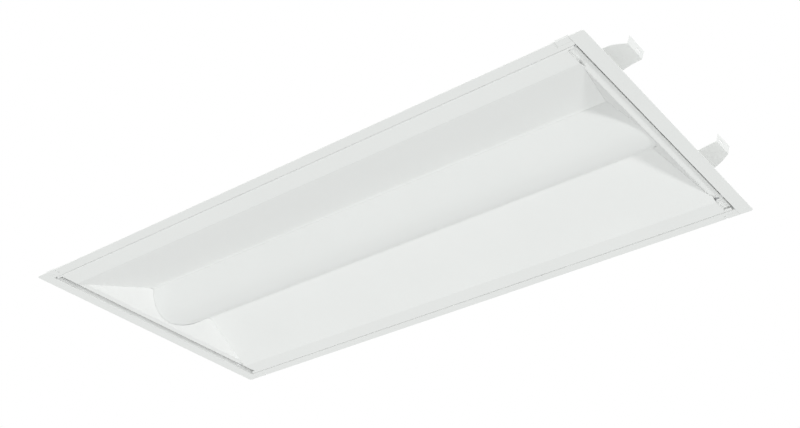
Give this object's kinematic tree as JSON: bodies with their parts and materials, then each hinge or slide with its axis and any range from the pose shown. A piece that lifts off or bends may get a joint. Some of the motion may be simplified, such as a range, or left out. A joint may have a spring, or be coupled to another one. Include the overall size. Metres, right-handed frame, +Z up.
{
  "type": "troffer light",
  "caption": "Recessed rectangular troffer light: hinged door of sloping white reflector wings and a curved opal lens, flat trim flange, sheet housing and folding fixing arms.",
  "frame": {"origin": "middle of the trim's bottom face, in the plane of the ceiling's underside", "axes": "+X along the light towards the end shown at the picture's right, +Y across it towards the side where the door opens, +Z up into the ceiling"},
  "size_m": [1.2322, 0.597, 0.092],
  "materials": {
    "white_paint": "smooth matt white powder coat",
    "reflector_paint": "matt high-reflectance white paint",
    "galvanised": "dull galvanised sheet",
    "zinc": "bright zinc plate",
    "aluminium": "mill finish",
    "opal": "satin opal acrylic",
    "board_white": "white solder mask",
    "phosphor": "phosphor-filled silicone",
    "white_plastic": "moulded nylon",
    "grey_plastic": "moulded nylon",
    "black_rubber": "soft matt rubber",
    "foam": "closed-cell foam strip",
    "brass": "plain turned brass"
  },
  "bodies": {
    "housing": {"housing_pan": "white_paint", "end_cap_right": "white_paint", "end_cap_left": "white_paint", "trim_side_near": "white_paint", "trim_side_far": "white_paint", "trim_end_right": "white_paint", "trim_end_left": "white_paint", "corner_bracket_right_near": "white_paint", "corner_bracket_right_far": "white_paint", "corner_bracket_left_near": "white_paint", "corner_bracket_left_far": "white_paint", "trim_rivets": "zinc", "led_tray": "aluminium", "led_board_1": "board_white", "led_board_2": "board_white", "led_board_3": "board_white", "led_board_4": "board_white", "led_packages": "phosphor", "board_screws": "zinc", "board_connectors": "white_plastic", "driver": "galvanised", "driver_ends": "white_plastic", "driver_cover": "white_paint", "cover_screws": "zinc", "terminal_block": "white_plastic", "terminal_screws": "zinc", "earth_stud": "brass", "gland_body": "grey_plastic", "gland_nut": "grey_plastic", "gland_locknut": "grey_plastic", "grommet": "black_rubber", "arm_brackets": "white_paint", "bracket_rivets": "zinc", "arm_pins": "zinc", "hinge_pins": "zinc"},
    "door": {"reflector_near": "reflector_paint", "reflector_far": "reflector_paint", "door_rail_right": "white_paint", "door_rail_left": "white_paint", "end_plate_right_near": "reflector_paint", "end_plate_right_far": "reflector_paint", "end_plate_left_near": "reflector_paint", "end_plate_left_far": "reflector_paint", "lens": "opal", "lens_ends": "opal", "lens_gaskets": "foam", "lens_clips": "zinc", "latch_guides": "zinc", "guide_rivets": "zinc"},
    "latch_right": {"latch_right": "zinc"},
    "latch_left": {"latch_left": "zinc"},
    "arm_right_near": {"arm_right_near": "white_paint"},
    "arm_right_far": {"arm_right_far": "white_paint"},
    "arm_left_near": {"arm_left_near": "white_paint"},
    "arm_left_far": {"arm_left_far": "white_paint"}
  },
  "joints": [
    {"name": "door_hinge", "type": "hinge", "parent": "housing", "child": "door", "pos_m": [0, -0.27275, 0.00275], "axis": [-1, 0, 0], "range_deg": [0, 90]},
    {"name": "latch_right_slide", "type": "slide", "parent": "door", "child": "latch_right", "axis": [1, 0, 0], "range_m": [0, 0.005]},
    {"name": "latch_left_slide", "type": "slide", "parent": "door", "child": "latch_left", "axis": [-1, 0, 0], "range_m": [0, 0.005]},
    {"name": "arm_right_near_pivot", "type": "hinge", "parent": "housing", "child": "arm_right_near", "pos_m": [0.57, -0.166, 0.044], "axis": [0, -1, 0], "range_deg": [0, 80]},
    {"name": "arm_right_far_pivot", "type": "hinge", "parent": "housing", "child": "arm_right_far", "pos_m": [0.57, 0.166, 0.044], "axis": [0, -1, 0], "range_deg": [0, 80]},
    {"name": "arm_left_near_pivot", "type": "hinge", "parent": "housing", "child": "arm_left_near", "pos_m": [-0.57, -0.166, 0.044], "axis": [0, 1, 0], "range_deg": [0, 80]},
    {"name": "arm_left_far_pivot", "type": "hinge", "parent": "housing", "child": "arm_left_far", "pos_m": [-0.57, 0.166, 0.044], "axis": [0, 1, 0], "range_deg": [0, 80]}
  ]
}
